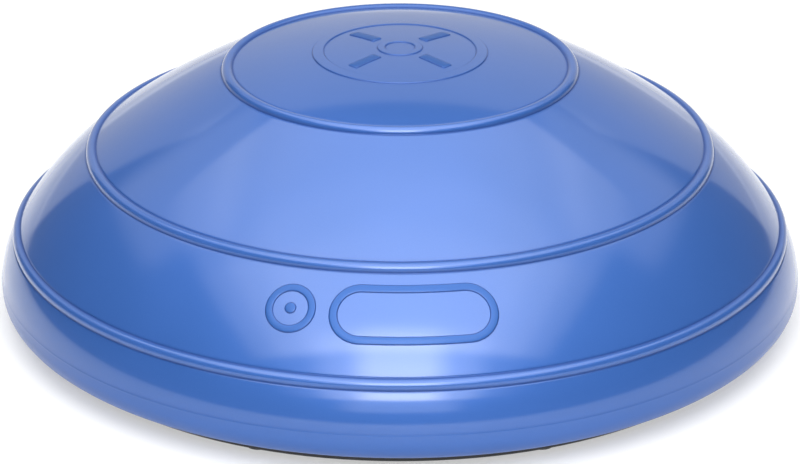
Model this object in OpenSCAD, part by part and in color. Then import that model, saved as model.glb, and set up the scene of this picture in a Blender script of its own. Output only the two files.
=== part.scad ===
// Balance dome trainer: an inflated half ball on a rigid round platform.
// Millimetres, +Z up, origin on the floor under the centre, front towards -Y.

/* [Dome] */
// Diameter at the widest point of the bulge
dome_d = 650; // [560:5:700]
// Height of the widest point above the floor
equator_z = 32; // [32:1:36]
// Height of the dome above its widest point, without the rings
dome_rise = 193; // [170:1:210]
// Thickness of the bladder wall
wall_t = 3.5; // [3:0.5:5]
// Radius of the curve that tucks the bulge under itself
tuck_r = 21; // [19:1:21]

/* [Rings] */
// Radius of the top ring as a share of the dome radius
ring_1_share = 0.428; // [0.40:0.001:0.46]
// Radius of the middle ring as a share of the dome radius
ring_2_share = 0.768; // [0.74:0.001:0.80]
// Radius of the lower ring as a share of the dome radius
ring_3_share = 0.958; // [0.950:0.001:0.965]
// Width of a raised ring at its foot
ring_w = 9.3; // [6:0.1:12]
// Height of a raised ring
ring_h = 3; // [2:0.1:4]

/* [Platform] */
// Radius of the black platform
rim_r = 300; // [298:1:302]
// Thickness of the deck skin and of the inner shell
skin_t = 4; // [3:0.5:4]
// Height of the platform inside the dome, above the feet
platform_h = 33; // [32:1:36]
// Height that the feet lift the platform
foot_h = 5; // [4:1:6]
// Screw places round the rim, of which the grips take a few
rim_screw_places = 24; // [16, 20, 24, 30]
// Number of screws round the valve
hub_screw_count = 6; // [4:1:8]

/* [Valve] */
// Diameter of the plug's shank
plug_d = 8.8; // [7:0.2:9]
// Clearance round the plug's shank
plug_gap = 0.1; // [0.1:0.05:0.2]

/* [Hidden] */
$fn = 96;
past = 1; // how far a cut runs past the face it opens
overlap = 1; // how far two fused shapes run into each other

// Bladder profile. Ring feet sit on it, and it is made of one arc for each panel.
equator_r = dome_d / 2;
ring_1 = [equator_r * ring_1_share, equator_z + dome_rise * 0.918];
ring_2 = [equator_r * ring_2_share, equator_z + dome_rise * 0.574];
ring_3 = [equator_r * ring_3_share, equator_z + dome_rise * 0.223];
crown_top = [0, equator_z + dome_rise];
equator = [equator_r, equator_z];
upper_sag = 3;
lower_sag = 3.8;
crown_half = atan2(crown_top[1] - ring_1[1], ring_1[0]);
crown_sag = norm(ring_1 - crown_top) / 2 * tan(crown_half / 2);
crown_ball_r = norm(ring_1 - crown_top) / 2 / sin(crown_half);
shoulder_half = atan2(equator_r - ring_3[0], ring_3[1] - equator_z);
shoulder_sag = norm(equator - ring_3) / 2 * tan(shoulder_half / 2);
tuck_c = [equator_r - tuck_r, equator_z];
panel_steps = 12;
shoulder_steps = 8;
tuck_steps = 10;

// The centring mark: two low rings on the crown.
mark_r = 66;
mark_centre_r = 15;
mark_w = 5;
mark_h = 0.8;

// The air seam between the crown, which travels, and the wall, which gives way.
seam_gap = 0.3;
seam_out = 1.5;
seam_r = ring_1[0] + ring_w / 2 + seam_out;
seam_cut_z = crown_top[1] + past;

// Raised ring: a round bar half sunk in the wall.
ring_bar_r = (pow(ring_w / 2, 2) + pow(ring_h, 2)) / (2 * ring_h);

// The bladder's lip and the platform levels, from the bottom up.
deck_z = foot_h;
clamp_z = equator_z - tuck_r;
flange_z = clamp_z + wall_t;
plate_top_z = deck_z + platform_h;
lip_r = 286;
lip_w = 7;
lip_h = 7.5;
lip_z = clamp_z + wall_t / 2 - lip_h / 2;
lip_play = 0.5;
skirt_r = 270;
gasket_r = 276;
gasket_w = 4;
gasket_h = 2.5;
gasket_play = 0.5;

// Fasteners.
rim_screw_r = 257;
hub_screw_r = 44;
grip_free_angle = 14;
boss_d = 14;
screw_d = 4;
screw_play = 0.6;
screw_head_d = 9;
screw_head_play = 0.8;
screw_head_h = 2.4;
screw_len = 21;
head_sink = 0.4;
driver_w = 5.2;
driver_t = 0.9;
driver_deep = 1.4;
boss_z = deck_z + skin_t;

// Grips: bean-shaped finger pockets that follow the rim.
grip_r = 240;
grip_w = 34;
grip_half_angle = 11;
grip_depth = 24;
bean_steps = 12;
liner_t = 2;
collar_w = 42;
collar_t = 1.2;
cup_t = 3;

// Feet.
foot_count = 8;
foot_r = 280;
foot_d = 22;
foot_root_d = 16;
foot_root_h = 2;

// Valve.
pocket_d = 46;
pocket_h = 12;
sleeve_r = 15;
seat_r = 8;
seat_flange_r = 11;
seat_play = 0.5;
pocket_roof_z = deck_z + pocket_h;
sleeve_z = pocket_roof_z + cup_t;
plug_head_r = 10;
plug_head_h = 3;
tab_r = 5;
tab_t = 3;
tab_hole_r = 2.2;

// Points of the arc from a to b, without b, that bulges to the left of a to b by sag.
function arc(a, b, sag, steps) =
    let (chord = norm(b - a),
         radius = (chord * chord / 4 + sag * sag) / (2 * sag),
         along = (b - a) / chord,
         out = [-along[1], along[0]],
         centre = (a + b) / 2 + out * (sag - radius),
         half = asin(chord / 2 / radius))
    [for (i = [0 : steps - 1])
        let (t = -half + 2 * half * i / steps)
        centre + along * radius * sin(t) + out * radius * cos(t)];

function place_at(r, angle) = r * [cos(angle), sin(angle)];

// Points along a circle from one angle to another, without the last.
function turned(centre, r, from, to, steps) =
    [for (i = [0 : steps - 1]) centre + place_at(r, from + (to - from) * i / steps)];

// Outer profile of the bladder, from the top of the crown to the end of the tuck.
function outer_profile() = concat(
    arc(crown_top, ring_1, crown_sag, panel_steps),
    arc(ring_1, ring_2, upper_sag, panel_steps),
    arc(ring_2, ring_3, lower_sag, panel_steps),
    arc(ring_3, equator, shoulder_sag, shoulder_steps),
    [for (i = [0 : tuck_steps]) tuck_c + place_at(tuck_r, -90 * i / tuck_steps)]);

// The same profile moved inwards by the wall thickness.
function inward(points, t) =
    [for (i = [0 : len(points) - 1])
        let (before = points[max(i - 1, 0)],
             after = points[min(i + 1, len(points) - 1)],
             along = (after - before) / norm(after - before),
             inside = i == 0 ? [0, -1] : i == len(points) - 1 ? [0, 1] : [along[1], -along[0]])
        points[i] + inside * t];

// Bladder wall in section, from the axis to the clamp.
module bladder_section() {
    outside = outer_profile();
    inside = inward(outside, wall_t);
    polygon(concat(outside, [for (i = [len(inside) - 1 : -1 : 0]) inside[i]]));
}

// Flat flange and thick lip at the bladder's lower edge.
module lip_section() {
    translate([lip_r + overlap, clamp_z]) square([tuck_c[0] - lip_r, wall_t]);
    translate([lip_r, lip_z]) square([lip_w, lip_h]);
}

// Round bar of one raised ring, leaning with the wall between its neighbours.
module ring_bar(place, before, after) {
    lean = atan2(before[1] - after[1], after[0] - before[0]);
    sink = ring_bar_r - ring_h;
    rotate_extrude()
        translate(place - sink * [sin(lean), cos(lean)])
            circle(r = ring_bar_r, $fn = 32);
}

// One low ring of the centring mark, square to the crown where it stands.
module crown_mark(r) {
    slope = asin(r / crown_ball_r);
    rotate_extrude()
        translate([r, crown_top[1] - crown_ball_r * (1 - cos(slope))])
            rotate(-slope)
                translate([-mark_w / 2, -wall_t / 2])
                    square([mark_w, wall_t / 2 + mark_h]);
}

// A bean shape that follows the rim, centred on the +X side.
module bean(w, h) {
    linear_extrude(h)
        polygon(concat(
            turned([0, 0], grip_r + w / 2, -grip_half_angle, grip_half_angle, bean_steps),
            turned(place_at(grip_r, grip_half_angle), w / 2, grip_half_angle, grip_half_angle + 180,
                   bean_steps),
            turned([0, 0], grip_r - w / 2, grip_half_angle, -grip_half_angle, bean_steps),
            turned(place_at(grip_r, -grip_half_angle), w / 2, 180 - grip_half_angle, 360 - grip_half_angle,
                   bean_steps)));
}

// Places its children at each rim screw that the grips leave room for.
module at_rim_screws() {
    for (i = [0 : rim_screw_places - 1]) {
        turn = (i + 0.5) * 360 / rim_screw_places;
        if (abs(cos(turn)) < cos(grip_free_angle))
            rotate([0, 0, turn]) translate([rim_screw_r, 0, 0]) children();
    }
}

// Places its children at each screw round the valve.
module at_hub_screws() {
    for (i = [0 : hub_screw_count - 1])
        rotate([0, 0, (i + 0.5) * 360 / hub_screw_count]) translate([hub_screw_r, 0, 0]) children();
}

module at_foot(i) {
    rotate([0, 0, (i - 0.5) * 360 / foot_count]) translate([foot_r, 0, 0]) children();
}

module at_grips() {
    for (turn = [0, 180]) rotate([0, 0, turn]) children();
}

// Pan-head screw that points up, its head in the deck's counterbore.
module screw() {
    difference() {
        union() {
            translate([0, 0, deck_z + head_sink]) cylinder(d = screw_head_d, h = screw_head_h, $fn = 32);
            translate([0, 0, deck_z + head_sink + screw_head_h])
                cylinder(d = screw_d, h = screw_len, $fn = 24);
        }
        for (turn = [0, 90])
            rotate([0, 0, turn])
                translate([-driver_w / 2, -driver_t / 2, deck_z])
                    cube([driver_w, driver_t, head_sink + driver_deep]);
    }
}

// Hole through the deck and counterbore for one screw.
module screw_hole() {
    translate([0, 0, deck_z - past])
        cylinder(d = screw_d + screw_play, h = skin_t + 2 * past, $fn = 24);
    translate([0, 0, deck_z - past])
        cylinder(d = screw_head_d + screw_head_play, h = past + head_sink + screw_head_h, $fn = 32);
}

// Boss under the base plate that takes one screw.
module boss() {
    translate([0, 0, boss_z]) cylinder(d = boss_d, h = plate_top_z - skin_t / 2 - boss_z, $fn = 32);
}

module boss_hole() {
    translate([0, 0, boss_z - past]) cylinder(d = screw_d, h = screw_len + past, $fn = 24);
}

// Side of the inflated dome, from the seam down to the lip that the platform clamps.
module dome_wall() {
    color("royalblue") {
        rotate_extrude() {
            difference() {
                bladder_section();
                square([seam_r + seam_gap / 2, seam_cut_z]);
            }
            lip_section();
        }
        ring_bar(ring_2, ring_1, ring_3);
        ring_bar(ring_3, ring_2, equator);
    }
}

// Top of the inflated dome, which goes down under a foot.
module dome_crown() {
    color("cornflowerblue") {
        rotate_extrude()
            intersection() {
                bladder_section();
                square([seam_r - seam_gap / 2, seam_cut_z]);
            }
        ring_bar(ring_1, crown_top, ring_2);
        crown_mark(mark_r);
        crown_mark(mark_centre_r);
    }
}

// Upper half of the platform in section: hub sleeve, plate, skirt, and a flange over the bladder's lip.
module base_section() {
    top_z = plate_top_z - skin_t;
    groove_top_z = lip_z + lip_h + lip_play;
    step_r = lip_r - 2;
    flange_r = rim_r - 1;
    polygon([
        [seat_r, sleeve_z], [sleeve_r, sleeve_z], [sleeve_r, top_z],
        [skirt_r - skin_t, top_z], [skirt_r - skin_t, clamp_z],
        [gasket_r - gasket_play, clamp_z], [gasket_r - gasket_play, clamp_z + gasket_h],
        [gasket_r + gasket_w + gasket_play, clamp_z + gasket_h], [gasket_r + gasket_w + gasket_play, clamp_z],
        [step_r, clamp_z], [step_r, flange_z],
        [lip_r - lip_play, flange_z], [lip_r - lip_play, groove_top_z],
        [lip_r + lip_w + lip_play, groove_top_z], [lip_r + lip_w + lip_play, flange_z],
        [flange_r, flange_z], [flange_r, flange_z + skin_t],
        [skirt_r, flange_z + skin_t], [skirt_r, plate_top_z], [seat_r, plate_top_z]
    ]);
}

// Ring ribs and radial ribs under the base plate, with room left for the grips.
module base_ribs() {
    rib_t = 3;
    rib_count = 12;
    rib_gap = 1;
    rib_z = boss_z + rib_gap;
    rib_h = plate_top_z - skin_t / 2 - rib_z;
    spoke_up = 1;
    spine_r = 62;
    ring_rib_r = 150;
    rib_end_r = skirt_r - skin_t / 2;
    grip_play = 2;
    grip_room_w = grip_w + 2 * cup_t + 2 * grip_play;
    difference() {
        union() {
            for (r = [spine_r, ring_rib_r])
                rotate_extrude() translate([r, rib_z]) square([rib_t, rib_h]);
            for (i = [0 : rib_count - 1])
                rotate([0, 0, i * 360 / rib_count])
                    translate([spine_r + rib_t / 2, -rib_t / 2, rib_z + spoke_up])
                        cube([rib_end_r - spine_r - rib_t / 2, rib_t, rib_h - spoke_up]);
        }
        at_grips()
            translate([0, 0, rib_z - past])
                bean(grip_room_w, plate_top_z - skin_t - rib_z);
    }
}

// Upper half of the platform: an airtight shell with ribs and bosses under it.
module base_plate() {
    color([0.12, 0.12, 0.13])
        difference() {
            union() {
                rotate_extrude() base_section();
                base_ribs();
                at_rim_screws() boss();
                at_hub_screws() boss();
            }
            at_rim_screws() boss_hole();
            at_hub_screws() boss_hole();
        }
}

// Lower half of the platform: the flat deck to stand on when the trainer is turned over.
module deck() {
    edge = 3;
    edge_steps = 6;
    step_r = 268;
    groove_w = 2;
    groove_deep = 0.8;
    first_groove_r = 70;
    groove_step = 26;
    last_groove_r = 200;
    color([0.08, 0.08, 0.09])
        difference() {
            union() {
                rotate_extrude()
                    polygon(concat(
                        [[0, deck_z], [0, deck_z + skin_t], [step_r, deck_z + skin_t],
                         [step_r, clamp_z], [rim_r, clamp_z]],
                        [for (i = [0 : edge_steps])
                            [rim_r - edge, deck_z + edge] + place_at(edge, -90 * i / edge_steps)]));
                at_grips()
                    translate([0, 0, deck_z])
                        bean(grip_w + 2 * cup_t, grip_depth + cup_t);
                translate([0, 0, deck_z])
                    cylinder(d = pocket_d + 2 * cup_t, h = pocket_h + cup_t, $fn = 64);
            }
            at_grips() translate([0, 0, deck_z - past]) bean(grip_w, grip_depth + past);
            translate([0, 0, deck_z - past]) cylinder(d = pocket_d, h = pocket_h + past, $fn = 64);
            translate([0, 0, deck_z])
                cylinder(r = seat_flange_r + seat_play, h = pocket_h + cup_t + past, $fn = 48);
            at_rim_screws() screw_hole();
            at_hub_screws() screw_hole();
            for (i = [1 : foot_count])
                at_foot(i)
                    translate([0, 0, deck_z - past])
                        cylinder(d = foot_root_d, h = foot_root_h + past, $fn = 48);
            rotate_extrude() {
                translate([lip_r - lip_play, lip_z - lip_play])
                    square([lip_w + 2 * lip_play, clamp_z - lip_z + lip_play + past]);
                for (r = [first_groove_r : groove_step : last_groove_r])
                    translate([r, deck_z - past]) square([groove_w, groove_deep + past]);
            }
        }
}

// Flat gasket between the two halves of the platform.
module seal_ring() {
    color([0.2, 0.2, 0.2])
        rotate_extrude()
            translate([gasket_r, clamp_z])
                square([gasket_w, gasket_h]);
}

module rim_screws() {
    color("silver") at_rim_screws() screw();
}

module hub_screws() {
    color("silver") at_hub_screws() screw();
}

// Soft liner of one finger pocket, with a collar that stands a little proud of the deck.
module grip_liner(turn) {
    color([0.25, 0.25, 0.27])
        rotate([0, 0, turn])
            difference() {
                union() {
                    translate([0, 0, deck_z]) bean(grip_w, grip_depth);
                    translate([0, 0, deck_z - collar_t]) bean(collar_w, collar_t);
                }
                translate([0, 0, deck_z - collar_t - past])
                    bean(grip_w - 2 * liner_t, grip_depth + collar_t + past - liner_t);
            }
}

module grip_left() {
    grip_liner(180);
}

module grip_right() {
    grip_liner(0);
}

// Rubber grommet in the centre of the platform, which the plug seals.
module valve_seat() {
    lip_over = 2.5;
    color([0.3, 0.3, 0.3])
        rotate_extrude($fn = 48)
            polygon([
                [plug_d / 2 + plug_gap, pocket_roof_z], [seat_flange_r, pocket_roof_z],
                [seat_flange_r, sleeve_z], [seat_r, sleeve_z], [seat_r, plate_top_z],
                [seat_flange_r, plate_top_z], [seat_r, plate_top_z + lip_over],
                [plug_d / 2 + plug_gap, plate_top_z + lip_over]
            ]);
}

// Plug with a pull tab, which comes out downwards.
module valve_plug() {
    shank_out = 14;
    shank_top = sleeve_z + shank_out;
    nose = 1.5;
    edge = 0.8;
    tab_hole_down = 1.2;
    head_z = pocket_roof_z - plug_head_h;
    color([0.85, 0.85, 0.83])
        difference() {
            union() {
                rotate_extrude($fn = 48)
                    polygon([
                        [0, head_z], [plug_head_r - edge, head_z], [plug_head_r, head_z + edge],
                        [plug_head_r, pocket_roof_z], [plug_d / 2, pocket_roof_z],
                        [plug_d / 2, shank_top - nose], [plug_d / 2 - nose, shank_top], [0, shank_top]
                    ]);
                translate([0, tab_t / 2, pocket_roof_z - tab_r])
                    rotate([90, 0, 0])
                        cylinder(r = tab_r, h = tab_t, $fn = 48);
            }
            translate([0, tab_t, pocket_roof_z - tab_r - tab_hole_down])
                rotate([90, 0, 0])
                    cylinder(r = tab_hole_r, h = 2 * tab_t, $fn = 32);
        }
}

// One rubber foot, its root glued into the deck.
module foot(i) {
    edge = 1;
    color([0.16, 0.16, 0.16])
        at_foot(i)
            rotate_extrude($fn = 48)
                polygon([
                    [0, 0], [foot_d / 2 - edge, 0], [foot_d / 2, edge], [foot_d / 2, foot_h],
                    [foot_root_d / 2, foot_h], [foot_root_d / 2, foot_h + foot_root_h],
                    [0, foot_h + foot_root_h]
                ]);
}

dome_wall();
dome_crown();
base_plate();
deck();
seal_ring();
rim_screws();
hub_screws();
grip_left();
grip_right();
valve_seat();
valve_plug();
foot(1);  // foot_1
foot(2);  // foot_2
foot(3);  // foot_3
foot(4);  // foot_4
foot(5);  // foot_5
foot(6);  // foot_6
foot(7);  // foot_7
foot(8);  // foot_8
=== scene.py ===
import math

import bpy
import numpy as np
from mathutils import Matrix, Vector


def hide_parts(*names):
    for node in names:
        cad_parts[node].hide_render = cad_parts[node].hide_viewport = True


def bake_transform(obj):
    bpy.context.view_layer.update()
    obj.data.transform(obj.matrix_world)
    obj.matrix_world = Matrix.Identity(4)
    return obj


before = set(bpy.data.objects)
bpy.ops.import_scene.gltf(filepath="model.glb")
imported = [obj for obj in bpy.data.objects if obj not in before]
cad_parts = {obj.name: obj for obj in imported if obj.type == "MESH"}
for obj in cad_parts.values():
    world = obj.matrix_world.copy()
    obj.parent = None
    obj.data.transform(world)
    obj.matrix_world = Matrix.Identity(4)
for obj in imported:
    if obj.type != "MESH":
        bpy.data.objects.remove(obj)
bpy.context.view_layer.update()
MM = 0.001

# ---------------------------------------------------------------- dome profile
# The same places as in the CAD part, in metres: radius and height.
CROWN_TOP = np.array([0.0, 0.225])
RING_1 = np.array([0.1391, 0.209174])
RING_2 = np.array([0.2496, 0.142782])
RING_3 = np.array([0.31135, 0.075039])
EQUATOR = np.array([0.325, 0.032])
# How far the curve under the bulge goes in and down. It goes down less than in the CAD part, so
# that the platform's edge shows under it.
TUCK_R = 0.021
TUCK_H = 0.0185
DECK_R = 0.300
# How far the two sloping bands bulge from a straight line.
UPPER_SAG = 0.003
LOWER_SAG = 0.0038
WALL_T = 0.0035
FLANGE_Z = 0.011
LIP_IN_R = 0.286
LIP_OUT_R = 0.293
LIP_LOW_Z = 0.009
LIP_TOP_Z = 0.0165
# Distance between the points of the profile, and how far its normals are smoothed.
DENSE = 0.0001
NORMAL_REACH = 0.0025
# The three raised rings, and the fine groove at each foot: depth, distance from the foot, width.
BEAD_W = 0.0093
BEAD_H = 0.003
BEAD_REACH = 0.00028
BEAD_GROOVE = (0.00035, 0.0005, 0.0005)
# Painted shade along each foot of a ring, which darkens its colour: darkness, distance from the
# foot, width.
BEAD_PAINTED_SHADE = (1.0, 0.0002, 0.0009)
# The two flat rings of the crown target, radius and width, and their grooves.
MARK_RINGS = ((0.066, 0.009), (0.015, 0.006))
MARK_H = 0.0008
MARK_REACH = 0.00022
MARK_GROOVE = (0.00018, 0.0005, 0.0004)
# Painted shade along the edges of the crown rings: darkness, distance from the edge, width.
MARK_PAINTED_SHADE = (0.9, 0.0002, 0.0006)
# The mould parting line.
PARTING_Z = 0.039
PARTING_LINE = (0.00018, 0.0, 0.0004)
# Painted shade just below the parting line: darkness, distance from it, width.
PARTING_PAINTED_SHADE = (0.2, -0.0012, 0.0005)


def arc(a, b, sag):
    """Points of the arc from a to b, without b, that bulges to the left of a to b by sag."""
    chord = np.linalg.norm(b - a)
    radius = (chord * chord / 4 + sag * sag) / (2 * sag)
    along = (b - a) / chord
    out = np.array([-along[1], along[0]])
    centre = (a + b) / 2 + out * (sag - radius)
    half = math.asin(chord / 2 / radius)
    steps = int(round(2 * half * radius / DENSE))
    t = -half + 2 * half * np.arange(steps) / steps
    return centre + radius * (np.outer(np.sin(t), along) + np.outer(np.cos(t), out))


def tangent_sag(a, b, half):
    """Sag of an arc from a to b that turns by twice the angle half between its ends' directions."""
    return np.linalg.norm(b - a) / 2 * math.tan(half / 2)


def base_profile():
    """Outer profile without rings, from the axis to the end of the tuck, about DENSE apart."""
    crown_half = math.atan2(CROWN_TOP[1] - RING_1[1], RING_1[0])
    shoulder_half = math.atan2(EQUATOR[0] - RING_3[0], RING_3[1] - EQUATOR[1])
    tuck_steps = int(round(math.pi / 2 * TUCK_R / DENSE))
    t = -np.pi / 2 * np.arange(tuck_steps + 1) / tuck_steps
    tuck = EQUATOR - [TUCK_R, 0] + np.stack([TUCK_R * np.cos(t), TUCK_H * np.sin(t)], 1)
    flange = [[DECK_R, FLANGE_Z], [DECK_R - 2 * MM, FLANGE_Z]]
    return np.concatenate([
        arc(CROWN_TOP, RING_1, tangent_sag(CROWN_TOP, RING_1, crown_half)),
        arc(RING_1, RING_2, UPPER_SAG),
        arc(RING_2, RING_3, LOWER_SAG),
        arc(RING_3, EQUATOR, tangent_sag(RING_3, EQUATOR, shoulder_half)),
        tuck,
        flange,
    ])


def smooth(values, reach):
    """Values along the profile, averaged over a bell curve. The ends keep their value."""
    half = int(3 * reach / DENSE)
    bell = np.exp(-0.5 * (np.arange(-half, half + 1) * DENSE / reach) ** 2)
    padded = np.pad(values, half, mode="edge")
    return np.convolve(padded, bell / bell.sum(), mode="valid")


base = base_profile()
base_s = np.concatenate([[0], np.cumsum(np.linalg.norm(np.diff(base, axis=0), axis=1))])
grid_s = np.arange(0, base_s[-1], DENSE)
base = np.stack([np.interp(grid_s, base_s, base[:, k]) for k in (0, 1)], 1)
tangent = np.gradient(base, axis=0)
tangent /= np.linalg.norm(tangent, axis=1)[:, None]
normal = np.stack([smooth(-tangent[:, 1], NORMAL_REACH), smooth(tangent[:, 0], NORMAL_REACH)], 1)
normal[0] = (0, 1)
normal /= np.linalg.norm(normal, axis=1)[:, None]


def s_at(point):
    """Length down the profile to the place nearest a point."""
    return grid_s[np.argmin(np.linalg.norm(base - point, axis=1))]


S_RINGS = [s_at(p) for p in (RING_1, RING_2, RING_3)]
S_PARTING = grid_s[np.argmin(np.abs(base[:, 1] - PARTING_Z))]
MARKS = [(s_at(np.array([r, CROWN_TOP[1]])), w) for r, w in MARK_RINGS]


def bell(distance, line):
    """Bell curve for a line given by its height, its distance from the foot and its width."""
    tall, away, width = line
    return tall * np.exp(-(((distance - away) / width) ** 2))


height = np.zeros(len(grid_s))
# Painted shade in the grooves at the feet of the rings and crown rings and just below the parting
# line, which the material uses to darken the colour there.
painted_crease_shade = np.zeros(len(grid_s))
bead_r = ((BEAD_W / 2) ** 2 + BEAD_H ** 2) / (2 * BEAD_H)
for s in S_RINGS:
    d = np.abs(grid_s - s)
    round_top = np.sqrt(np.maximum(bead_r ** 2 - d ** 2, 0)) - (bead_r - BEAD_H)
    height += np.where(d < BEAD_W / 2, round_top, 0)
    height -= bell(d - BEAD_W / 2, BEAD_GROOVE)
    painted_crease_shade = np.maximum(painted_crease_shade, bell(d - BEAD_W / 2, BEAD_PAINTED_SHADE))
height = smooth(height, BEAD_REACH)
for s, w in MARKS:
    d = np.abs(grid_s - s)
    height += smooth(np.where(d < w / 2, MARK_H, 0), MARK_REACH)
    height -= bell(d - w / 2, MARK_GROOVE)
    painted_crease_shade = np.maximum(painted_crease_shade, bell(d - w / 2, MARK_PAINTED_SHADE))
height += bell(grid_s - S_PARTING, PARTING_LINE)
painted_crease_shade = np.maximum(painted_crease_shade, bell(grid_s - S_PARTING, PARTING_PAINTED_SHADE))
outer = base + normal * height[:, None]


def chosen():
    """Where the mesh has a ring of points: close together at the relief, further apart between."""
    widest_step = 0.0045
    growth = 0.35
    # Middle, reach and step of each place with relief.
    near = [(s, 0.0085, 0.00042) for s in S_RINGS]
    near += [(s, w / 2 + 0.002, 0.00035) for s, w in MARKS]
    near += [(S_PARTING, 0.002, 0.0003)]
    places = [0.0]
    while places[-1] < grid_s[-1]:
        s = places[-1]
        step = widest_step
        for centre, reach, fine in near:
            step = min(step, max(fine, growth * (abs(s - centre) - reach)))
        places.append(s + step)
    return np.array(places[:-1] + [grid_s[-1]])


picked = chosen()
rings_out = np.stack([np.interp(picked, grid_s, outer[:, k]) for k in (0, 1)], 1)
rings_crease_shade = np.interp(picked, grid_s, painted_crease_shade)
INNER_ROWS = 70
inner_s = np.linspace(grid_s[-1], 0, INNER_ROWS)
rings_in = np.stack([np.interp(inner_s, grid_s, (base - normal * WALL_T)[:, k]) for k in (0, 1)], 1)
rings_in[-1, 0] = 0
lip = np.array([
    [LIP_OUT_R, FLANGE_Z], [LIP_OUT_R, LIP_LOW_Z + MM], [LIP_OUT_R - MM, LIP_LOW_Z],
    [LIP_IN_R + MM, LIP_LOW_Z], [LIP_IN_R, LIP_LOW_Z + MM], [LIP_IN_R, LIP_TOP_Z - MM],
    [LIP_IN_R + MM, LIP_TOP_Z], [LIP_OUT_R - MM, LIP_TOP_Z], [LIP_OUT_R, LIP_TOP_Z - MM],
    [LIP_OUT_R, FLANGE_Z + WALL_T],
])
section = np.concatenate([rings_out, lip, rings_in])
section_crease_shade = np.concatenate([rings_crease_shade, np.zeros(len(lip) + len(rings_in))])

# ---------------------------------------------------------------- dome mesh
TURNS = 480
points, faces, painted_crease_shades, raised = [], [], [], []


def add_revolve(profile, marks):
    """Closed surface turned from a profile whose two ends are on the axis. Its marks are the
    painted shade at each point of the profile.
    """
    angles = 2 * np.pi * np.arange(TURNS) / TURNS
    points.append((0, 0, profile[0, 1]))
    painted_crease_shades.append(marks[0])
    for (r, z), c in zip(profile[1:-1], marks[1:-1]):
        points.extend(zip(r * np.sin(angles), -r * np.cos(angles), np.full(TURNS, z)))
        painted_crease_shades.extend([c] * TURNS)
    points.append((0, 0, profile[-1, 1]))
    painted_crease_shades.append(marks[-1])
    raised.extend([0.0] * len(points))
    last = len(points) - 1
    rows = len(profile) - 2
    k = np.arange(TURNS)
    n = (k + 1) % TURNS
    faces.extend(zip([0] * TURNS, 1 + k, 1 + n))
    for row in range(rows - 1):
        a = 1 + row * TURNS
        b = a + TURNS
        faces.extend(zip(a + k, b + k, b + n, a + n))
    a = 1 + (rows - 1) * TURNS
    faces.extend(zip(a + k, [last] * TURNS, a + n))


def on_dome(angle, s, up):
    """Point over the dome's skin: angle from the front, length s down the profile, height up."""
    r, z = (np.interp(s, grid_s, base[:, k]) for k in (0, 1))
    nr, nz = (np.interp(s, grid_s, normal[:, k]) for k in (0, 1))
    r, z = r + nr * up, z + nz * up
    return (r * math.sin(angle), -r * math.cos(angle), z)


def front_chart(middle_s):
    """Flat drawing on the front band: x to the right, y up the slope."""
    r = np.interp(middle_s, grid_s, base[:, 0])
    return lambda x, y, up: on_dome(x / r, middle_s - y, up)


def crown_chart(x, y, up):
    """Flat drawing on the crown, as seen from above with the front below."""
    return on_dome(math.atan2(x, -y), math.hypot(x, y), up)


STROKE_H = 0.0009
SUNK = 0.0004
# Side of a stroke, from its foot up: distance past its edge, height, painted shade and raised.
EDGE = [(0.0008, -SUNK, 1.0, 0.0), (0.0003, 0.0001, 1.0, 0.0),
        (-0.0002, STROKE_H - 0.00015, 0.7, 0.3), (-0.0008, STROKE_H, 0.1, 1.0)]
# How far the two last rows of an open stroke go past its end.
END_INNER = 0.0006
END_OUTER = 0.0011


def add_stroke(chart, line, width, closed):
    """Raised stroke with steep sides along a line of drawing points."""
    line = np.array(line, float)
    count = len(line)
    across = []
    for i in range(count):
        before = line[i - 1] if closed or i > 0 else line[0]
        after = line[(i + 1) % count] if closed or i < count - 1 else line[-1]
        along = (after - before) / np.linalg.norm(after - before)
        across.append((-along[1], along[0]))
    across = np.array(across)
    rows = [(p, a, 0.0) for p, a in zip(line, across)]
    if not closed:
        start, end = (line[0] - line[1]), (line[-1] - line[-2])
        start, end = start / np.linalg.norm(start), end / np.linalg.norm(end)
        rows.insert(0, (line[0] + start * END_INNER, across[0], STROKE_H))
        rows.insert(0, (line[0] + start * END_OUTER, across[0], STROKE_H + SUNK))
        rows.append((line[-1] + end * END_INNER, across[-1], STROKE_H))
        rows.append((line[-1] + end * END_OUTER, across[-1], STROKE_H + SUNK))
    half = width / 2
    cells = [(half + e[0], *e[1:]) for e in EDGE]
    cells += [(-half - e[0], *e[1:]) for e in reversed(EDGE)]
    first = len(points)
    size = len(cells)
    for p, a, drop in rows:
        for off, up, c, plateau in cells:
            q = p + a * off
            low = drop > 0
            points.append(chart(q[0], q[1], max(up - drop, -SUNK)))
            # The sunk rows past the ends of an open stroke get full painted shade.
            painted_crease_shades.append(1.0 if low else c)
            raised.append(0.0 if low else plateau)
    total = len(rows)
    for i in range(total if closed else total - 1):
        a, b = first + i * size, first + (i + 1) % total * size
        for j in range(size - 1):
            faces.append((a + j, a + j + 1, b + j + 1, b + j))
        faces.append((a + size - 1, a, b, b + size - 1))
    if not closed:
        faces.append(tuple(first + j for j in range(size)))
        faces.append(tuple(first + (total - 1) * size + j for j in reversed(range(size))))


def add_dot(chart, x, y, r, steps=28):
    """Small raised disc."""
    first = len(points)
    for e in EDGE:
        for k in range(steps):
            t = 2 * math.pi * k / steps
            points.append(chart(x + (r + e[0]) * math.cos(t), y + (r + e[0]) * math.sin(t), e[1]))
            painted_crease_shades.append(e[2])
            raised.append(e[3])
    for i in range(len(EDGE) - 1):
        for k in range(steps):
            n = (k + 1) % steps
            a, b = first + i * steps, first + (i + 1) * steps
            faces.append((a + k, a + n, b + n, b + k))
    faces.append(tuple(first + (len(EDGE) - 1) * steps + k for k in range(steps)))
    faces.append(tuple(first + k for k in reversed(range(steps))))


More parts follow.
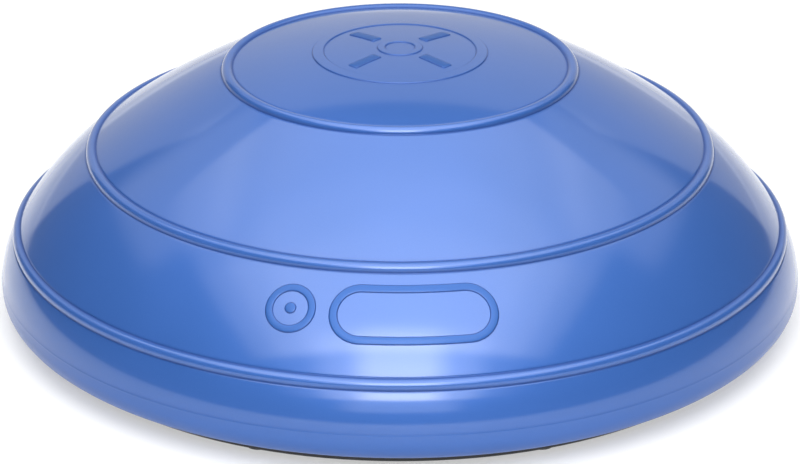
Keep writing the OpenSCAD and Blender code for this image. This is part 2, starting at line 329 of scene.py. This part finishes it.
def circle_line(x, y, r, step=0.0016):
    """Points round a circle, about step apart."""
    count = max(24, int(2 * math.pi * r / step))
    return [(x + r * math.cos(2 * math.pi * k / count), y + r * math.sin(2 * math.pi * k / count))
            for k in range(count)]


def stadium_line(x, y, half_w, half_h, step=0.0018):
    """Outline with straight long sides and round ends."""
    straight = half_w - half_h
    ends = int(math.pi * half_h / step)
    sides = int(2 * straight / step)
    half_line = [(-straight + 2 * straight * k / sides, -half_h) for k in range(sides)]
    for k in range(ends):
        t = math.pi * k / ends
        half_line.append((straight + half_h * math.sin(t), -half_h * math.cos(t)))
    return [(x + way * dx, y + way * dy) for way in (1, -1) for dx, dy in half_line]


def bar_line(x0, y0, x1, y1, step=0.002):
    """Points of a straight line, about step apart."""
    count = max(3, int(math.hypot(x1 - x0, y1 - y0) / step))
    return [(x0 + (x1 - x0) * k / count, y0 + (y1 - y0) * k / count) for k in range(count + 1)]


add_revolve(section, section_crease_shade)

# Nameplate outline and ring mark on the front band, this far down it from the second ring.
FRONT_DOWN = 0.0385
PLATE_X = 0.0105
PLATE_HALF_W = 0.0605
PLATE_HALF_H = 0.0205
PLATE_STROKE = 0.006
RING_MARK_X = -0.083
RING_MARK_R = 0.0165
RING_MARK_STROKE = 0.0055
DOT_R = 0.0042
front = front_chart(S_RINGS[1] + FRONT_DOWN)
add_stroke(front, stadium_line(PLATE_X, 0, PLATE_HALF_W, PLATE_HALF_H), PLATE_STROKE, True)
add_stroke(front, circle_line(RING_MARK_X, 0, RING_MARK_R), RING_MARK_STROKE, True)
add_dot(front, RING_MARK_X, 0, DOT_R)

# Four diagonal bars of the crown target.
BAR_FROM_R = 0.026
BAR_TO_R = 0.053
BAR_STROKE = 0.009
for quarter in range(4):
    turn = math.pi / 4 + quarter * math.pi / 2
    c, s = math.cos(turn), math.sin(turn)
    bar = bar_line(BAR_FROM_R * c, BAR_FROM_R * s, BAR_TO_R * c, BAR_TO_R * s)
    add_stroke(crown_chart, bar, BAR_STROKE, False)

mesh = bpy.data.meshes.new("dome_skin")
mesh.from_pydata([tuple(map(float, p)) for p in points], [], [tuple(map(int, f)) for f in faces])
mesh.validate()
for name, values in (("painted_crease_shade", painted_crease_shades), ("raised", raised)):
    attribute = mesh.attributes.new(name, "FLOAT", "POINT")
    attribute.data.foreach_set("value", np.array(values, np.float32))
mesh.shade_smooth()
dome = bpy.data.objects.new("dome_skin", mesh)
bpy.context.scene.collection.objects.link(dome)


# ---------------------------------------------------------------- materials
def node(tree, kind, inputs=None, **settings):
    """New shader node. Its inputs are linked from sockets or set to values."""
    made = tree.nodes.new(kind)
    for key, value in settings.items():
        setattr(made, key, value)
    for key, value in (inputs or {}).items():
        if isinstance(value, bpy.types.NodeSocket):
            tree.links.new(value, made.inputs[key])
        else:
            made.inputs[key].default_value = value
    return made


def material(name, **fixed):
    """Material whose Principled shader has the given sockets set, its tree and its shader."""
    made = bpy.data.materials.new(name)
    made.use_nodes = True
    tree = made.node_tree
    bsdf = tree.nodes["Principled BSDF"]
    for key, value in fixed.items():
        bsdf.inputs[key.replace("_", " ")].default_value = value
    return made, tree, bsdf


def place(tree):
    """The object's own coordinates, in metres."""
    return node(tree, "ShaderNodeTexCoord").outputs["Object"]


def noise(tree, where, scale, detail=3.0, rough=0.5):
    return node(tree, "ShaderNodeTexNoise", {"Vector": where, "Scale": scale, "Detail": detail,
                                             "Roughness": rough}).outputs["Fac"]


def spread(tree, value, low, high, from_low=0.3, from_high=0.7):
    """Value turned from one range to another, kept inside it."""
    return node(tree, "ShaderNodeMapRange",
                {"Value": value, "From Min": from_low, "From Max": from_high,
                 "To Min": low, "To Max": high}).outputs["Result"]


def clouded(tree, value, low, high):
    """Colour between two, by where a noise value is in its usual range."""
    return mixed(tree, spread(tree, value, 0.0, 1.0), (*low, 1), (*high, 1))


def mixed(tree, share, a, b):
    """Colour a with a share of colour b."""
    made = node(tree, "ShaderNodeMix", {"Factor": share}, data_type="RGBA")
    for socket, value in (("A_Color", a), ("B_Color", b)):
        target = next(i for i in made.inputs if i.identifier == socket)
        if isinstance(value, bpy.types.NodeSocket):
            tree.links.new(value, target)
        else:
            target.default_value = value
    return next(o for o in made.outputs if o.identifier == "Result_Color")


def math_node(tree, operation, a, b):
    return node(tree, "ShaderNodeMath", {0: a, 1: b}, operation=operation).outputs[0]


def bump(tree, height, distance, strength=1.0, under=None):
    """Bumps of a height in metres, over the bumps under them."""
    inputs = {"Height": height, "Distance": distance, "Strength": strength}
    if under is not None:
        inputs["Normal"] = under
    return node(tree, "ShaderNodeBump", inputs).outputs["Normal"]


def dome_material():
    """Pearly blue PVC with fine flakes and a clear coat, which is worn near the floor and dull on
    the grooves and raised marks. Painted shade darkens its colour in the grooves."""
    made, tree, bsdf = material("pearl_blue_pvc", Metallic=0.28, Coat_Roughness=0.1, Coat_IOR=1.53,
                                IOR=1.5, Specular_IOR_Level=0.12)
    where = place(tree)
    cloud = noise(tree, where, 9.0, 2.0)
    flake = noise(tree, where, 1400.0, 2.0, 0.7)
    colour = clouded(tree, cloud, (0.030, 0.099, 0.340), (0.035, 0.108, 0.370))
    colour = mixed(tree, spread(tree, flake, 0.0, 0.35), colour, (0.050, 0.138, 0.41, 1))
    mark = node(tree, "ShaderNodeAttribute", attribute_name="raised").outputs["Fac"]
    colour = mixed(tree, math_node(tree, "MULTIPLY", mark, 0.75), colour, (0.023, 0.090, 0.300, 1))
    # Painted shade: the colour is darkened in the grooves at the feet of the rings and marks and
    # just below the parting line.
    painted_shade_mask = node(tree, "ShaderNodeAttribute", attribute_name="painted_crease_shade").outputs["Fac"]
    colour = mixed(tree, math_node(tree, "MULTIPLY", painted_shade_mask, 0.6), colour, (0.007, 0.025, 0.14, 1))
    tree.links.new(colour, bsdf.inputs["Base Color"])
    dull = math_node(tree, "MULTIPLY", math_node(tree, "MAXIMUM", mark, painted_shade_mask), 0.8)
    up = node(tree, "ShaderNodeSeparateXYZ", {0: where}).outputs["Z"]
    left = spread(tree, up, 0.3, 1.0, 0.022, 0.046)
    coat = math_node(tree, "MULTIPLY", math_node(tree, "SUBTRACT", 1.0, dull), left)
    tree.links.new(coat, bsdf.inputs["Coat Weight"])
    tree.links.new(spread(tree, flake, 0.40, 0.52), bsdf.inputs["Roughness"])
    skin = bump(tree, noise(tree, where, 90.0, 2.0), 0.00006)
    skin = bump(tree, flake, 0.00001, 1.0, skin)
    tree.links.new(skin, bsdf.inputs["Normal"])
    tree.links.new(bump(tree, noise(tree, where, 26.0, 1.0), 0.00005), bsdf.inputs["Coat Normal"])
    return made


def moulded_material(name, low, high, grain_scale, grain_deep, rough_low, rough_high):
    """Moulded black plastic: fine grain, faint clouds in colour and gloss."""
    made, tree, bsdf = material(name, IOR=1.49)
    where = place(tree)
    cloud = noise(tree, where, 14.0, 4.0)
    grain = node(tree, "ShaderNodeTexVoronoi",
                 {"Vector": where, "Scale": grain_scale}).outputs["Distance"]
    fine = noise(tree, where, grain_scale * 2.2, 3.0)
    colour = clouded(tree, cloud, low, high)
    speck = [1.8 * channel for channel in high]
    colour = mixed(tree, spread(tree, fine, 0.0, 0.25), colour, (*speck, 1))
    tree.links.new(colour, bsdf.inputs["Base Color"])
    tree.links.new(spread(tree, cloud, rough_low, rough_high), bsdf.inputs["Roughness"])
    normal = bump(tree, fine, grain_deep * 0.4)
    tree.links.new(bump(tree, grain, grain_deep, 1.0, normal), bsdf.inputs["Normal"])
    return made


def rubber_material(name, low, high, pattern_scale):
    """Matt rubber with small raised pips and a dusty bloom."""
    made, tree, bsdf = material(name, IOR=1.52, Specular_IOR_Level=0.35)
    where = place(tree)
    bloom = noise(tree, where, 35.0, 4.0)
    pips = node(tree, "ShaderNodeTexVoronoi",
                {"Vector": where, "Scale": pattern_scale, "Randomness": 0.25},
                feature="SMOOTH_F1").outputs["Distance"]
    colour = clouded(tree, bloom, low, high)
    tree.links.new(colour, bsdf.inputs["Base Color"])
    tree.links.new(spread(tree, bloom, 0.62, 0.85), bsdf.inputs["Roughness"])
    fine = bump(tree, noise(tree, where, 900.0, 2.0), 0.00004)
    tree.links.new(bump(tree, pips, 0.0003, 0.6, fine), bsdf.inputs["Normal"])
    return made


def zinc_material():
    """Zinc-plated steel with faint spangles."""
    made, tree, bsdf = material("zinc_steel", Metallic=1.0)
    where = place(tree)
    spangle = noise(tree, where, 420.0, 3.0)
    colour = clouded(tree, spangle, (0.44, 0.45, 0.47), (0.66, 0.66, 0.66))
    tree.links.new(colour, bsdf.inputs["Base Color"])
    fine = noise(tree, where, 900.0, 2.0)
    tree.links.new(spread(tree, fine, 0.26, 0.48), bsdf.inputs["Roughness"])
    tree.links.new(bump(tree, spangle, 0.00004), bsdf.inputs["Normal"])
    return made


def plug_material():
    """Satin off-white plastic."""
    made, tree, bsdf = material("plug_plastic", IOR=1.49)
    where = place(tree)
    cloud = noise(tree, where, 120.0, 4.0)
    colour = clouded(tree, cloud, (0.60, 0.60, 0.56), (0.72, 0.72, 0.69))
    tree.links.new(colour, bsdf.inputs["Base Color"])
    tree.links.new(spread(tree, cloud, 0.36, 0.5), bsdf.inputs["Roughness"])
    tree.links.new(bump(tree, noise(tree, where, 1100.0, 2.0), 0.00003), bsdf.inputs["Normal"])
    return made


def floor_material():
    """Plain pale paint, with a little light of its own so that it shows white in the picture."""
    made, tree, bsdf = material("floor_paint", IOR=1.45, Emission_Strength=0.48)
    where = place(tree)
    cloud = noise(tree, where, 1.5, 3.0)
    colour = clouded(tree, cloud, (0.47, 0.47, 0.47), (0.49, 0.49, 0.49))
    tree.links.new(colour, bsdf.inputs["Base Color"])
    tree.links.new(spread(tree, cloud, 0.6, 0.7), bsdf.inputs["Roughness"])
    return made


def paint(piece, made):
    piece.data.materials.clear()
    piece.data.materials.append(made)


paint(dome, dome_material())
deck_plastic = moulded_material("deck_plastic", (0.010, 0.010, 0.011), (0.018, 0.018, 0.020),
                                700.0, 0.00012, 0.42, 0.60)
shell_plastic = moulded_material("shell_plastic", (0.014, 0.014, 0.015), (0.022, 0.022, 0.024),
                                 420.0, 0.00006, 0.5, 0.65)
grip_rubber = rubber_material("grip_rubber", (0.030, 0.030, 0.033), (0.050, 0.050, 0.054), 260.0)
foot_rubber = rubber_material("foot_rubber", (0.018, 0.018, 0.018), (0.032, 0.032, 0.031), 520.0)
seal_rubber = rubber_material("seal_rubber", (0.022, 0.022, 0.022), (0.034, 0.034, 0.034), 900.0)
zinc = zinc_material()
paints = {
    "base_plate": shell_plastic, "deck": deck_plastic, "seal_ring": seal_rubber,
    "rim_screws": zinc, "hub_screws": zinc, "grip_left": grip_rubber, "grip_right": grip_rubber,
    "valve_seat": seal_rubber, "valve_plug": plug_material(),
}
for name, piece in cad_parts.items():
    if name.startswith("foot_"):
        paint(piece, foot_rubber)
    elif name in paints:
        paint(piece, paints[name])

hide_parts("dome_wall", "dome_crown")
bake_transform(dome)

# ---------------------------------------------------------------- floor
FLOOR_SIZE = 24
bpy.ops.mesh.primitive_plane_add(size=FLOOR_SIZE)
floor = bpy.context.object
floor.name = "floor"
paint(floor, floor_material())

# ---------------------------------------------------------------- light
def profile(tree, value, stops):
    """Value from 0 to 1 turned into a level by the stops, pairs of place and level from 0 to 1."""
    ramp = node(tree, "ShaderNodeValToRGB", {"Fac": value})
    band = ramp.color_ramp
    band.interpolation = "EASE"
    while len(band.elements) < len(stops):
        band.elements.new(0.5)
    for element, (at, level) in zip(band.elements, stops):
        element.position = at
        element.color = (level, level, level, 1)
    return ramp.outputs["Color"]


def panel(name, middle, aim, width, length, peak, across, along):
    """Soft light panel with its middle at one point, facing another. Its brightness is peak times
    the levels of its two profiles, across from the left and along from its lower or front edge."""
    data = bpy.data.lights.new(name, "AREA")
    data.shape = "RECTANGLE"
    data.size = width
    data.size_y = length
    data.energy = math.pi * width * length
    data.use_nodes = True
    tree = data.node_tree
    parametric = node(tree, "ShaderNodeNewGeometry").outputs["Parametric"]
    spot = node(tree, "ShaderNodeSeparateXYZ", {0: parametric})
    glow = math_node(tree, "MULTIPLY", profile(tree, spot.outputs["X"], across),
                     profile(tree, spot.outputs["Y"], along))
    glow = math_node(tree, "MULTIPLY", glow, peak)
    tree.links.new(glow, tree.nodes["Emission"].inputs["Strength"])
    lamp = bpy.data.objects.new(name, data)
    bpy.context.scene.collection.objects.link(lamp)
    outward = (Vector(middle) - Vector(aim)).normalized()
    side = Vector((1, 0, 0)) if abs(outward.x) < 0.5 else Vector((0, 1, 0))
    rise = outward.cross(side).normalized()
    side = rise.cross(outward)
    turned = Matrix((side, rise, outward)).transposed().to_4x4()
    lamp.matrix_world = Matrix.Translation(middle) @ turned
    lamp.visible_camera = False


def mirrored(stops):
    """The stops of one half, and the same again from the other end."""
    return stops + [(1 - at, level) for at, level in reversed(stops)]


SOFT_EDGE = mirrored([(0.0, 0.0), (0.25, 1.0)])
EVEN = mirrored([(0.0, 1.0)])
panel("top_panel", (0, -0.4, 2.2), (0, -0.4, 0), 4.4, 3.4, 3.75,
      mirrored([(0.0, 0.0), (0.1, 0.4), (0.18, 0.72), (0.28, 0.97)]),
      [(0.0, 0.0), (0.06, 1.0), (0.5, 0.95), (0.6, 0.72), (0.72, 0.57), (1.0, 0.5)])
panel("front_panel", (0, -1.86, 1.56), (0, -0.3, 0.08), 3.0, 1.48, 10.0,
      mirrored([(0.0, 0.0), (0.15, 0.06), (0.3, 0.35), (0.42, 1.0)]),
      [(0.0, 0.0), (0.07, 1.0), (0.2, 1.0), (0.5, 0.85), (0.75, 0.65), (1.0, 0.0)])
panel("low_front_panel", (0, -2.88, 0.95), (0, 0, 0.08), 2.0, 0.9, 1.6, SOFT_EDGE, SOFT_EDGE)
for side_name, way in (("left", -1), ("right", 1)):
    panel(side_name + "_rear_panel", (way * 1.65, 0.95, 1.8), (way * 0.2, 0, 0.15),
          2.0, 1.4, 0.8, SOFT_EDGE, SOFT_EDGE)
panel("back_panel", (0, 3.0, 1.4), (0, 0, 1.4), 5.0, 2.8, 0.6, EVEN, EVEN)

world = bpy.data.worlds.new("studio")
world.use_nodes = True
bpy.context.scene.world = world
background = world.node_tree.nodes["Background"]
background.inputs["Color"].default_value = (0.95, 0.97, 1.0, 1)
background.inputs["Strength"].default_value = 0.05
bpy.context.scene.view_settings.view_transform = "Standard"

# ---------------------------------------------------------------- camera
# From the ellipses of the three rings in the photo. The pitch is in radians below the horizon.
CAMERA_PLACE = (0, -2.8, 1.272)
CAMERA_PITCH = 0.4073
camera_data = bpy.data.cameras.new("camera")
camera_data.lens = 167.85
camera_data.sensor_width = 36
camera_data.clip_start = 0.05
camera_data.clip_end = 60
camera = bpy.data.objects.new("camera", camera_data)
bpy.context.scene.collection.objects.link(camera)
camera.location = CAMERA_PLACE
camera.rotation_euler = (math.pi / 2 - CAMERA_PITCH, 0, 0)
bpy.context.scene.camera = camera
